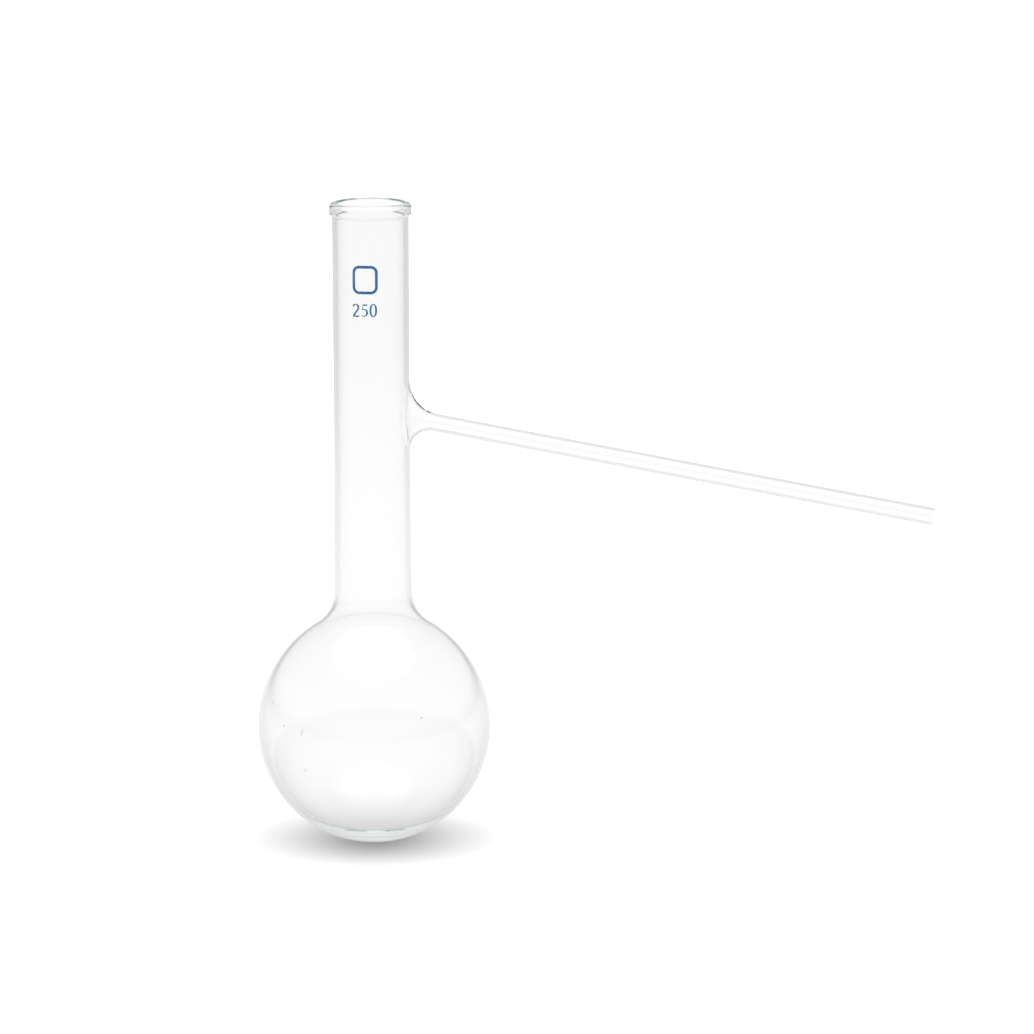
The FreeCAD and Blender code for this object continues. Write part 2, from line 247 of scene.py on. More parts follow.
inner_rows = [
    eased_rows((NECK_BORE, edge_middle[1]), (NECK_BORE, WINDOW_HIGH), NECK_ROWS),
    line_rows((NECK_BORE, WINDOW_HIGH), (NECK_BORE, WINDOW_LOW), WINDOW_ROWS),
    line_rows((NECK_BORE, WINDOW_LOW), (NECK_BORE, TAPER_TOP), BELOW_WINDOW_ROWS),
    eased_rows((NECK_BORE, TAPER_TOP), on_arc(inner_shoulder, INNER_SHOULDER, inner_foot), TAPER_ROWS),
    arc_rows(inner_shoulder, INNER_SHOULDER, inner_foot, np.pi + inner_lean, SHOULDER_ROWS),
    arc_rows((-UPPER_BULB_OFFSET, BULB), UPPER_BULB - BULB_WALL, inner_lean, 0, UPPER_ROWS),
    arc_rows((0, BULB), INNER_BALL, 0, blend_start, 32),
    arc_rows(blend_middle, FLOOR_BLEND, blend_start, blend_end, 18),
    arc_rows((0, FLOOR + FLOOR_DISH), FLOOR_DISH, blend_end, -QUARTER, 24),
]
profile = np.vstack([*outer_rows, *mouth_rows, *inner_rows])[1:]
print(len(profile), "rows, widest", (1000 * profile[:, 0].max()).round(2), "mm from the centre line")

# %% [markdown]
# Turned round the centre line, each profile point becomes a ring. The first and the last point lie on the
# line itself, so they are single vertices that close the surface like the poles of a globe.

# %% Turn the profile
COLUMNS = 168
turn = 2 * np.pi * np.arange(COLUMNS) / COLUMNS


def turned(rows, angles):
    """Points (r cos a, r sin a, z) for each profile point (r, z) and each angle a."""
    r, z = rows[:, 0, None], rows[:, 1, None]
    return np.stack([r * np.cos(angles), r * np.sin(angles), z + 0 * angles], axis=-1)


rings = turned(profile, turn)
ring_index = np.arange(rings.shape[0] * COLUMNS).reshape(rings.shape[0], COLUMNS)
print("grid", rings.shape)

# %% [markdown]
# The window is a rectangle of the grid on the side of the arm, once in the outer wall and once in the inner
# one. Its border is walked once round, from the top middle towards +Y, so that each border point can be
# paired with an angle round the arm.

# %% Windows for the arm
HALF_WINDOW = 22  # columns each side of the arm
around = 4 * HALF_WINDOW + 2 * WINDOW_ROWS
outer_low = int(np.argmin(np.abs(profile[:, 1] - WINDOW_LOW) + np.abs(profile[:, 0] - NECK)))
inner_high = int(np.argmin(np.abs(profile[:, 1] - WINDOW_HIGH) + np.abs(profile[:, 0] - NECK_BORE)))


def border(top, bottom):
    """Row and column of each border point: half the top, down one side, the bottom, up the other side."""
    down = np.linspace(top, bottom, WINDOW_ROWS + 1).astype(int)
    across = np.arange(-HALF_WINDOW, HALF_WINDOW + 1)
    rows = [top + 0 * across[HALF_WINDOW:-1], down[:-1], bottom + 0 * across[1:], down[:0:-1]]
    columns = [across[HALF_WINDOW:-1], HALF_WINDOW + 0 * down[1:], across[:0:-1], -HALF_WINDOW + 0 * down[1:]]
    last_stretch = across[:HALF_WINDOW]
    rows.append(top + 0 * last_stretch)
    columns.append(last_stretch)
    return np.concatenate(rows), np.concatenate(columns) % COLUMNS


outer_border = border(outer_low + WINDOW_ROWS, outer_low)
inner_border = border(inner_high, inner_high + WINDOW_ROWS)
print("border points", len(outer_border[0]), len(inner_border[0]), "of", around)

# %% [markdown]
# The arm was a separate tube, fused to a hole in the neck's side. Surface tension draws the hot glass into a
# flare, wide above and tight below. It is the surface that a ball leaves when it rolls between neck and arm:
# the ball touches both, so the flare meets both without a kink.

# %% The flare
SLOPE_SINE = -ARM_AXIS[2]
SLOPE_COSINE = ARM_AXIS[0]
ARM_UP = np.array([SLOPE_SINE, 0, SLOPE_COSINE])
ARM_SIDE = np.array([0.0, 1.0, 0.0])
ARM_FOOT = ON_ARM_AXIS - ARM_AXIS * ON_ARM_AXIS[0] / ARM_AXIS[0]  # where its axis meets the centre line
arm_turn = 2 * np.pi * np.arange(around) / around
rolling = (FLARE_ABOVE + FLARE_BELOW) / 2 + (FLARE_ABOVE - FLARE_BELOW) / 2 * np.cos(arm_turn)


def spoke(angles):
    """Unit vectors square to the arm: cos a upwards, sin a sideways."""
    return np.cos(angles)[:, None] * ARM_UP + np.sin(angles)[:, None] * ARM_SIDE


def rolled_flare(neck, tube, ball, rows):
    """Arcs of the rolling ball from the neck to the tube, for each angle round the tube.

    The ball's middle is ball from both walls. Its height on the arm's axis follows from its distance
    neck + ball to the centre line. Each arc turns evenly from one touching point to the other.
    """
    out = tube + ball
    sideways = out * np.sin(arm_turn)
    forward = np.sqrt((neck + ball) ** 2 - sideways**2)
    along = (forward - out * np.cos(arm_turn) * SLOPE_SINE) / SLOPE_COSINE
    middle = ARM_FOOT + along[:, None] * ARM_AXIS + out[:, None] * spoke(arm_turn)
    to_neck = -middle * [1, 1, 0] / (neck + ball)[:, None]
    to_tube = -spoke(arm_turn)
    opening = np.arccos(np.sum(to_neck * to_tube, axis=1))
    turned_by = opening[None, :, None]
    part = np.linspace(0, 1, rows)[:, None, None] * turned_by
    arc = (np.sin(turned_by - part) * to_neck + np.sin(part) * to_tube) / np.sin(turned_by)
    return middle + ball[:, None] * arc, along


FLARE_ROWS = 26
outer_flare, outer_end = rolled_flare(NECK, ARM, rolling, FLARE_ROWS)
inner_flare, inner_end = rolled_flare(NECK_BORE, ARM_BORE, rolling + NECK_WALL, FLARE_ROWS)
print("flare ends in mm out", (1000 * outer_end.min()).round(1), "to", (1000 * outer_end.max()).round(1))

# %% [markdown]
# Between the window's border and the flare's foot, points are blended in (angle, height) on the neck's own
# cylinder, so that this part stays exactly round. The arm itself is rings along its axis, with a
# fire-polished edge at the tip, and then the same way back inside.


# %% From the window to the tip and back
def on_neck(border_points, foot, radius, rows):
    """Evenly blended angles and heights between border and flare foot, laid on the neck's cylinder."""
    share = np.linspace(0, 1, rows + 1)[1:-1, None]
    angle_border = np.arctan2(border_points[:, 1], border_points[:, 0])
    angle_foot = np.arctan2(foot[:, 1], foot[:, 0])
    angle = (1 - share) * angle_border + share * angle_foot
    height = (1 - share) * border_points[:, 2] + share * foot[:, 2]
    return np.stack([radius * np.cos(angle), radius * np.sin(angle), height], axis=-1)


def on_arm(along, radius):
    """Rings of one radius: along the arm's axis by an even number of metres or by one for each angle."""
    reach = np.reshape(along, (len(along), -1, 1)) + np.zeros((around, 1))
    return ARM_FOOT + reach * ARM_AXIS + np.reshape(radius, (-1, 1, 1)) * spoke(arm_turn)


BLEND_ROWS = 10
SLIDING_RINGS = 3
LAST_FLARE = 0.025  # past here every ring is square to the arm
TIP_ROWS = 9
EDGE_START = ARM_REACH - TIP_EDGE
ARM_RINGS = eased_rows((LAST_FLARE, 0), (EDGE_START, 0), 24)[:, 0]
outer_tip = arc_rows((EDGE_START, ARM - TIP_EDGE), TIP_EDGE, QUARTER, 0, TIP_ROWS)
inner_tip = arc_rows((EDGE_START, ARM_BORE + TIP_EDGE), TIP_EDGE, 0, -QUARTER, TIP_ROWS)
tip = np.vstack([outer_tip, [[ARM_REACH, ARM - TIP_EDGE]], inner_tip, [[EDGE_START, ARM_BORE]]])


def to_full_ring(flare_end):
    """Rings that slide from the flare's uneven end to the first square ring."""
    share = np.linspace(0, 1, SLIDING_RINGS + 2)[1:-1, None]
    return (1 - share) * flare_end + share * LAST_FLARE


outer_points = rings[outer_border]
inner_points = rings[inner_border]
pipe = np.concatenate([
    on_neck(outer_points, outer_flare[0], NECK, BLEND_ROWS),
    outer_flare,
    on_arm(to_full_ring(outer_end), ARM),
    on_arm(ARM_RINGS, ARM),
    on_arm(tip[:, 0], tip[:, 1]),
    on_arm(ARM_RINGS[::-1], ARM_BORE),
    on_arm(to_full_ring(inner_end)[::-1], ARM_BORE),
    inner_flare[::-1],
    on_neck(inner_points, inner_flare[0], NECK_BORE, BLEND_ROWS)[::-1],
])
print("pipe grid", pipe.shape, "reaches x =", (1000 * pipe[..., 0].max()).round(2), "mm")

# %% [markdown]
# Now the faces. A grid's faces join each point to its neighbours, with the last column joined to the first.
# The faces inside the two windows are left out, and the pipe's first and last rows are the windows' borders,
# so the whole flask is one closed sheet with no seam.


# %% Faces
def grid_faces(index):
    """One four-sided face for each cell of a grid of vertex numbers that closes on itself sideways."""
    here, next_row = index[:-1], index[1:]
    return np.stack([here, np.roll(here, -1, 1), np.roll(next_row, -1, 1), next_row], axis=-1)


body_faces = grid_faces(ring_index)
near_arm = np.r_[-HALF_WINDOW:HALF_WINDOW]
kept = np.ones(body_faces.shape[:2], bool)
for first in (outer_low, inner_high):
    kept[np.ix_(range(first, first + WINDOW_ROWS), near_arm)] = False
pipe_index = rings[..., 0].size + np.arange(pipe[..., 0].size).reshape(pipe.shape[:2])
pipe_net = np.vstack([ring_index[outer_border], pipe_index, ring_index[inner_border]])
pipe_faces = grid_faces(pipe_net)[..., ::-1]
poles = rings[..., 0].size + pipe[..., 0].size + np.arange(2)
outer_fan = np.stack([np.roll(ring_index[0], -1), ring_index[0], np.full(COLUMNS, poles[0])], axis=-1)
inner_fan = np.stack([ring_index[-1], np.roll(ring_index[-1], -1), np.full(COLUMNS, poles[1])], axis=-1)
four_sided = np.vstack([body_faces[kept], pipe_faces.reshape(-1, 4)])
three_sided = np.vstack([outer_fan, inner_fan])
print(len(four_sided), "four-sided and", len(three_sided), "three-sided faces")

# %% [markdown]
# Vertices that only the windows used are dropped, and the rest are numbered anew. A closed sheet has
# every edge in exactly two faces, and its signed volume is the volume of the glass, so both are measured.


# %% Build meshes from arrays
def mesh_from(name, points, *face_groups):
    """A mesh object at the origin from a point array and arrays of faces with equal corners each."""
    corners = np.concatenate([group.ravel() for group in face_groups])
    used, corners = np.unique(corners, return_inverse=True)
    sizes = np.concatenate([np.full(len(group), group.shape[1]) for group in face_groups])
    mesh = bpy.data.meshes.new(name)
    mesh.vertices.add(len(used))
    mesh.vertices.foreach_set("co", points[used].astype(np.float32).ravel())
    mesh.loops.add(len(corners))
    mesh.loops.foreach_set("vertex_index", corners.astype(np.int32).ravel())
    mesh.polygons.add(len(sizes))
    mesh.polygons.foreach_set("loop_start", (np.cumsum(sizes) - sizes).astype(np.int32))
    mesh.polygons.foreach_set("use_smooth", np.ones(len(sizes), bool))
    mesh.update(calc_edges=True)
    mesh.validate()
    piece = bpy.data.objects.new(name, mesh)
    bpy.context.scene.collection.objects.link(piece)
    return piece


def measure(piece):
    """Open edges, triangles and the volume: a sixth of the sum of the corners' triple products."""
    mesh = piece.data
    mesh.calc_loop_triangles()
    triangles = np.empty(3 * len(mesh.loop_triangles), np.int32)
    mesh.loop_triangles.foreach_get("vertices", triangles)
    points = np.empty(3 * len(mesh.vertices), np.float32)
    mesh.vertices.foreach_get("co", points)
    a, b, c = points.reshape(-1, 3)[triangles.reshape(-1, 3)].astype(float).transpose(1, 0, 2)
    volume = np.sum(a * np.cross(b, c)) / 6
    open_edges = len(mesh.edges) * 2 - len(mesh.loops)
    print(piece.name, len(mesh.loop_triangles), "triangles, open edges", open_edges, f"{1e6 * volume:.3f} ml")


pole_points = np.array([[0, 0, 0], [0, 0, FLOOR]])
whole_glass = np.vstack([rings.reshape(-1, 3), pipe.reshape(-1, 3), pole_points])
print(len(whole_glass), "points before the seeds")

# %% [markdown]
# Blown glass keeps a few seeds: gas bubbles a few tenths of a millimetre across, trapped in the wall. They
# show as tiny dark dots, because their round walls throw the light aside. Each one is a small closed ball
# inside the glass whose faces look inwards, so that the space in it counts as air. A long one was drawn out
# with the wall.

# %% Seeds in the bulb
SEEDS = np.array([  # degrees round from +X, degrees above the bulb's middle, radius and half height in mm
    [-157.1, 35.7, 0.20, 0.20], [-153.5, 18.5, 0.28, 0.28], [-135.3, 14.7, 0.15, 0.15],
    [-139.3, 9.9, 0.24, 0.24], [-126.6, 8.7, 0.12, 1.40], [-63.2, 17.4, 0.28, 0.32],
    [-24.4, 15.5, 0.18, 0.18], [-124.5, -9.9, 0.24, 0.24], [-75.4, 7.2, 0.14, 0.14],
    [-101.9, 3.9, 0.14, 0.14], [-53.9, 8.3, 0.14, 0.14],
])
SEED_BANDS, SEED_SIDES = 8, 12
round_, up = np.radians(SEEDS[:, :2]).T
outward = np.stack([np.cos(up) * np.cos(round_), np.cos(up) * np.sin(round_), np.sin(up)], axis=1)
eastward = np.stack([-np.sin(round_), np.cos(round_), 0 * round_], axis=1)
seed_frame = np.stack([outward, eastward, np.cross(outward, eastward)], axis=1)
seed_middle = np.array([0, 0, BULB]) + (BULB - BULB_WALL / 2) * outward
band = np.pi * np.arange(1, SEED_BANDS)[:, None] / SEED_BANDS
side = 2 * np.pi * np.arange(SEED_SIDES) / SEED_SIDES
ball = np.stack([np.sin(band) * np.cos(side), np.sin(band) * np.sin(side), np.cos(band) + 0 * side], axis=-1)
ball = np.vstack([ball.reshape(-1, 3), [[0, 0, 1], [0, 0, -1]]])
seed_size = SEEDS[:, [2, 2, 3]] / 1000
seed_points = seed_middle[:, None] + np.einsum("pk,sk,skw->spw", ball, seed_size, seed_frame)
band_index = np.arange((SEED_BANDS - 1) * SEED_SIDES).reshape(-1, SEED_SIDES)
seed_start = len(whole_glass) + len(ball) * np.arange(len(SEEDS))[:, None, None]
seed_bands = seed_start + grid_faces(band_index).reshape(-1, 4)
top_fan = np.stack([np.roll(band_index[0], -1), band_index[0], np.full(SEED_SIDES, len(ball) - 2)], axis=-1)
low_fan = np.stack([band_index[-1], np.roll(band_index[-1], -1), np.full(SEED_SIDES, len(ball) - 1)], axis=-1)
seed_fans = seed_start + np.vstack([top_fan, low_fan])

flask = mesh_from(
    "flask_glass",
    np.vstack([whole_glass, seed_points.reshape(-1, 3)]),
    np.vstack([four_sided, seed_bands.reshape(-1, 4)]),
    np.vstack([three_sided, seed_fans.reshape(-1, 3)]),
)
measure(flask)

# %% [markdown]
# Clear laboratory glass bends light by an index of 1.47 and is smooth. The Principled shader's transmission
# does the bending, and a volume absorption darkens only the long ways through the glass, such as the floor
# and the walls seen edge on, which is how real glass gets its faint grey-green edges.

# %% Glass
GLASS_INDEX = 1.473
DEPTH_TINT = (0.88, 0.92, 0.91, 1)
DEPTH_DENSITY = 12.0


def new_material(name):
    material = bpy.data.materials.new(name)
    material.use_nodes = True
    tree = material.node_tree
    return material, tree.nodes, tree.links, tree.nodes["Principled BSDF"], tree.nodes["Material Output"]


def noise_on(nodes, links, stretch, scale, detail):
    """A noise's value on Object coordinates that are multiplied by stretch first."""
    place = nodes.new("ShaderNodeTexCoord")
    drawn = nodes.new("ShaderNodeVectorMath")
    drawn.operation = "MULTIPLY"
    drawn.inputs[1].default_value = stretch
    noise = nodes.new("ShaderNodeTexNoise")
    noise.inputs["Scale"].default_value = scale
    noise.inputs["Detail"].default_value = detail
    links.new(place.outputs["Object"], drawn.inputs[0])
    links.new(drawn.outputs[0], noise.inputs["Vector"])
    return noise.outputs["Fac"]


def bump_from(nodes, links, shader, height, distance):
    bump = nodes.new("ShaderNodeBump")
    bump.inputs["Strength"].default_value = 1.0
    bump.inputs["Distance"].default_value = distance
    links.new(height, bump.inputs["Height"])
    links.new(bump.outputs["Normal"], shader.inputs["Normal"])


def math_node(nodes, links, operation, *values):
    """A Math node's result, from sockets or plain numbers."""
    node = nodes.new("ShaderNodeMath")
    node.operation = operation
    for socket, value in zip(node.inputs, values):
        if isinstance(value, (int, float)):
            socket.default_value = value
        else:
            links.new(value, socket)
    return node.outputs[0]


def ranged(nodes, links, value, source, target):
    """A Map Range node's result, smooth at both ends."""
    node = nodes.new("ShaderNodeMapRange")
    node.interpolation_type = "SMOOTHSTEP"
    node.inputs["From Min"].default_value, node.inputs["From Max"].default_value = source
    node.inputs["To Min"].default_value, node.inputs["To Max"].default_value = target
    links.new(value, node.inputs["Value"])
    return node.outputs[0]


glass, nodes, links, shader, output = new_material("clear_glass")
shader.inputs["Base Color"].default_value = (1, 1, 1, 1)
shader.inputs["IOR"].default_value = GLASS_INDEX
shader.inputs["Transmission Weight"].default_value = 1.0
absorption = nodes.new("ShaderNodeVolumeAbsorption")
absorption.inputs["Color"].default_value = DEPTH_TINT
absorption.inputs["Density"].default_value = DEPTH_DENSITY
links.new(absorption.outputs["Volume"], output.inputs["Volume"])

# %% [markdown]
# Tube is drawn out of the furnace, which leaves very faint lines along it, and the bulb is blown from such a
# tube. So the bump is a noise stretched along the upright axis, a few thousandths of a millimetre high: too
# little to see face on, but it lets the dark lines at the edges waver. A second, finer noise varies the
# roughness, since handled glass is never wiped equally clean.

# %% Drawing lines and wiped surface
EVEN = (1.0, 1.0, 1.0)
DRAWN = (1.0, 1.0, 0.10)
LINES_SCALE = 160
LINES_HEIGHT = 6e-6
WIPED_SCALE = 70
ROUGHEST = 0.012
bump_from(nodes, links, shader, noise_on(nodes, links, DRAWN, LINES_SCALE, 1.0), LINES_HEIGHT)
wiped = noise_on(nodes, links, EVEN, WIPED_SCALE, 3.0)
links.new(math_node(nodes, links, "MULTIPLY", wiped, ROUGHEST), shader.inputs["Roughness"])
flask.data.materials.append(glass)

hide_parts("flask")
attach(flask, "root")
print("index", GLASS_INDEX, "lines", LINES_HEIGHT * 1e6, "micrometres high")

# %% [markdown]
# The volume is printed on the neck in blue enamel that is fired on, a film some hundredths of a millimetre
# thick. Above it the flask carries a blank field with a rounded frame, for a note. Each stroke is drawn flat,
# in millimetres to the right of the neck's front line and above the print's foot, and then wrapped round the
# neck.


# %% Strokes of the pen
def curve(middle, radii, first, last, points=40):
    """Points of an elliptical arc, middle + (a cos t, b sin t), with t from first to last degrees."""
    t = np.radians(np.linspace(first, last, points))[:, None]
    return np.array(middle) + np.array(radii) * np.hstack([np.cos(t), np.sin(t)])


def straight(*corners, points=8):
    """Even points along a chain of straight lines."""
    legs = [np.linspace(a, b, points, endpoint=False) for a, b in zip(corners, corners[1:])]
    return np.vstack([*legs, corners[-1:]])


def pen_edges(path, thin, thick):
    """Left and right edge of a stroke: its width is thin + (thick - thin) |u| ** 1.5, with u the rise of its
    unit tangent, so that upright strokes are thick and level ones thin, as in printed numerals."""
    tangent = np.gradient(path, axis=0)
    tangent /= np.linalg.norm(tangent, axis=1, keepdims=True)
    half = (thin + (thick - thin) * np.abs(tangent[:, 1:]) ** 1.5) / 2
    side = tangent[:, ::-1] * [-1, 1]
    return path + half * side, path - half * side


def wrapped(flat, foot, radius):
    """(across, up) in millimetres laid on the neck: the angle from the front is across / radius."""
    angle = flat[:, 0] / 1000 / NECK
    return np.stack([radius * np.sin(angle), -radius * np.cos(angle), foot + flat[:, 1] / 1000], axis=1)


FILM = (-1e-5, 4e-5)  # metres from the glass: it starts just inside, so that no gap shows


def slab(edges, foot, closed, first_vertex):
    """Points and faces of a stroke as a thin closed slab: four corners for each step along the path."""
    left, right = edges
    low, high = NECK + FILM[0], NECK + FILM[1]
    corners = ((left, low), (left, high), (right, high), (right, low))
    points = np.stack([wrapped(edge, foot, radius) for edge, radius in corners], axis=1)
    index = first_vertex + np.arange(len(left) * 4).reshape(-1, 4)
    if closed:
        return points.reshape(-1, 3), grid_faces(np.vstack([index, index[:1]])).reshape(-1, 4)
    ends = np.stack([index[0, ::-1], index[-1]])
    return points.reshape(-1, 3), np.vstack([grid_faces(index).reshape(-1, 4), ends])


print("film", [round(1e6 * f) for f in FILM], "micrometres from the glass")

# %% [markdown]
# The numerals are those of an ordinary book type: thick uprights, thin levels. A nought is one closed stroke,
# a two is a bow that runs into a slanting line plus a foot, and a five is a flag, a stem and a bow.

# %% The printed marks
THIN, THICK = 0.26, 0.70
two_bow = np.vstack([curve((1.15, 3.42), (1.0, 1.08), 165, -22), straight((1.9, 2.6), (0.22, 0.30))])
two_foot = straight((0.12, 0.20), (2.3, 0.20))
two_tip = straight((2.2, 0.22), (2.5, 0.80))
five_flag = straight((0.72, 4.30), (2.30, 4.30))
five_stem = straight((0.76, 4.32), (0.42, 2.62))
five_bow = np.vstack([straight((0.42, 2.55), (0.62, 2.68)), curve((1.0, 1.52), (1.22, 1.26), 105, -122)])
NOUGHT_POINTS = 72
nought = curve((1.32, 2.33), (1.02, 2.24), 0, 360, NOUGHT_POINTS + 1)[:-1]
FRAME_HALF, FRAME_CORNER, FRAME_WIDTH = (4.1, 4.6), 2.0, 1.0
corner_middle = np.array(FRAME_HALF) - FRAME_CORNER
corners = [
    curve(corner_middle * sides, (FRAME_CORNER, FRAME_CORNER), start, start + 90)
    for sides, start in (((1, 1), 0), ((-1, 1), 90), ((-1, -1), 180), ((1, -1), 270))
]


def evenly(path, points):
    """A closed line's points spread anew at equal distances, measured along it."""
    around_it = np.vstack([path, path[:1]])
    length = np.concatenate([[0], np.cumsum(np.linalg.norm(np.diff(around_it, axis=0), axis=1))])
    at = np.linspace(0, length[-1], points, endpoint=False)
    return np.stack([np.interp(at, length, around_it[:, 0]), np.interp(at, length, around_it[:, 1])], axis=1)


FRAME_POINTS = 120
frame_line = evenly(np.vstack(corners), FRAME_POINTS)
PRINT_FOOT = 0.1964  # heights on the neck in metres
FRAME_FOOT = 0.20965


def closed_edges(path, width):
    """Edges of a closed line of even width: the neighbours on both sides give each tangent."""
    tangent = np.roll(path, -1, axis=0) - np.roll(path, 1, axis=0)
    tangent /= np.linalg.norm(tangent, axis=1, keepdims=True)
    side = tangent[:, ::-1] * [-1, 1]
    half = np.broadcast_to(width, (len(path),))[:, None] / 2
    return path + half * side, path - half * side


TWO_ACROSS, FIVE_ACROSS, FRAME_ACROSS = [-6.2, 0], [-3.1, 0], [-1.6, 0]
BAR, TWO_SERIF, FIVE_STEM = 0.50, 0.20, 0.22  # even widths of pen
nought_angle = np.radians(np.linspace(0, 360, NOUGHT_POINTS + 1)[:-1])
nought_width = THIN + (THICK - THIN) * np.abs(np.cos(nought_angle))
strokes = [
    (pen_edges(two_bow + TWO_ACROSS, THIN, THICK), PRINT_FOOT, False),
    (pen_edges(two_foot + TWO_ACROSS, BAR, BAR), PRINT_FOOT, False),
    (pen_edges(two_tip + TWO_ACROSS, TWO_SERIF, TWO_SERIF), PRINT_FOOT, False),
    (pen_edges(five_flag + FIVE_ACROSS, BAR, BAR), PRINT_FOOT, False),
    (pen_edges(five_stem + FIVE_ACROSS, FIVE_STEM, FIVE_STEM), PRINT_FOOT, False),
    (pen_edges(five_bow + FIVE_ACROSS, THIN, THICK), PRINT_FOOT, False),
    (closed_edges(nought, nought_width), PRINT_FOOT, True),
    (closed_edges(frame_line + FRAME_ACROSS, FRAME_WIDTH), FRAME_FOOT, True),
]
mark_points, mark_faces, first_vertex = [], [], 0
for edges, foot, closed in strokes:
    points, faces = slab(edges, foot, closed, first_vertex)
    mark_points.append(points)
    mark_faces.append(faces)
    first_vertex += len(points)
marks = mesh_from("printed_marks", np.vstack(mark_points), np.vstack(mark_faces))
marks.data.polygons.foreach_set("use_smooth", np.zeros(len(marks.data.polygons), bool))
measure(marks)

# %% [markdown]
# Enamel is a coloured glass that melts on at red heat: glossy, but less so than the flask, and a little
# uneven, because it is screened on as grains. One noise varies the blue and the roughness, a finer one its
# surface. The film is so thin that blue light passes through it, which is why the print is blue from behind.

# %% Enamel
DEEP_BLUE, PALE_BLUE = (0.016, 0.120, 0.320, 1), (0.032, 0.224, 0.576, 1)
GRAIN_SCALE, RELIEF_SCALE = 900, 2600
GRAIN_RELIEF = 1.2e-5
SMOOTHEST, DULLEST = 0.30, 0.48
FEW_GRAINS, MANY_GRAINS = 0.3, 0.7  # the noise's values between which colour and roughness change
enamel, nodes, links, shader, output = new_material("blue_enamel")
grains = noise_on(nodes, links, EVEN, GRAIN_SCALE, 3.0)
blues = nodes.new("ShaderNodeMix")
blues.data_type = "RGBA"
blues.inputs[6].default_value = DEEP_BLUE
blues.inputs[7].default_value = PALE_BLUE
links.new(ranged(nodes, links, grains, (FEW_GRAINS, MANY_GRAINS), (0, 1)), blues.inputs[0])
links.new(blues.outputs[2], shader.inputs["Base Color"])
roughness = ranged(nodes, links, grains, (FEW_GRAINS, MANY_GRAINS), (SMOOTHEST, DULLEST))
links.new(roughness, shader.inputs["Roughness"])
shader.inputs["Subsurface Weight"].default_value = 0.8
shader.inputs["Subsurface Radius"].default_value = (0.1, 0.4, 1.0)
shader.inputs["Subsurface Scale"].default_value = 4e-4
bump_from(nodes, links, shader, noise_on(nodes, links, EVEN, RELIEF_SCALE, 2.0), GRAIN_RELIEF)
marks.data.materials.append(enamel)
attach(marks, "root")
print("enamel on", len(strokes), "strokes")

# %% [markdown]
# The stage is a pale floor under even light. Glass has no look of its own: it shows its surroundings, bent
# and mirrored. Round a table lit white the room is darker, so a ray that goes straight through the glass ends
# on white, and one that was mirrored on its way comes back darker. The shaders of floor and world stand for
# that room: they take a share from every mirrored ray, and more where it crossed the hollow inside, or where
# it comes from far out on the table or from just above the horizon.


# %% What a ray that was mirrored in the glass brings back
def arrives_by_glass(nodes, links, path):
    """1 for a ray that comes from the camera by way of glass, 0 for light on its way to a matt face."""
    kinds = path.outputs["Is Glossy Ray"], path.outputs["Is Transmission Ray"]
    by_glass = math_node(nodes, links, "MAXIMUM", *kinds)
    straight = math_node(nodes, links, "LESS_THAN", path.outputs["Diffuse Depth"], 0.5)
    return math_node(nodes, links, "MULTIPLY", by_glass, straight)


def crossed_hollow(nodes, links, path):
    """Two values: 1 and 0 for a ray that was bent three times or more, so that it has been in the hollow
    inside, and 0 and 1 for one that stayed in the wall."""
    crossed = math_node(nodes, links, "GREATER_THAN", path.outputs["Transmission Depth"], 2.5)
    return crossed, math_node(nodes, links, "SUBTRACT", 1.0, crossed)


def after_mirrors(nodes, links, path, left):
    """1 for a ray that only passed through, left for one that was mirrored: 1 + n (left - 1), n 0 or 1."""
    mirrored = math_node(nodes, links, "MINIMUM", path.outputs["Glossy Depth"], 1.0)
    loss = math_node(nodes, links, "SUBTRACT", left, 1.0)
    return math_node(nodes, links, "MULTIPLY_ADD", mirrored, loss, 1.0)


print("stage helpers:", *(f.__name__ for f in (arrives_by_glass, crossed_hollow, after_mirrors)))

# %% [markdown]
# The floor is a large matt sheet, as the photographer's table under white paper. Mirrored rays see a painted
# pool of light on it: as bright all round near the flask, and painted darker further off, which is what greys
# the edges of the neck.
# To the camera it is white by a light of its own, with less right under the bulb as a painted shadow.

# %% Floor
FLOOR_REACH = 20.0
FLOOR_COLOUR = 0.88
FLOOR_GLOW_AND_PAINTED_SHADOW = (0.27, 0.55)  # the floor's own light for the camera, dimmed right under the bulb as painted shadow, and clear of it
PAINTED_SHADOW_FADE = (0.015, 0.060)  # metres from the lowest point of the bulb over which the painted shadow gives way to the even light
SEEN_BY_GLASS = 0.71  # the floor's own light for rays that arrive by glass
SHADOW_BY_GLASS = 0.32  # and the part of the floor's light that the flask shades for them
POOL = (0.35, 1.25)  # metres from the flask over which the painted pool of light ends
LEFT_IN_POOL = 0.86  # the share that a mirrored ray brings back from the pool of light
LOST_FAR = 0.17  # what it brings back less from outside the pool
LOST_INSIDE = 0.15  # and less from anywhere, when it crossed the hollow inside
LOST_INSIDE_FAR = 0.36  # which adds up with this from outside the pool
FADES = (1.4, 2.4)  # metres over which a ray that stayed in the wall brings back less again
LOST_AT_HORIZON = 0.12

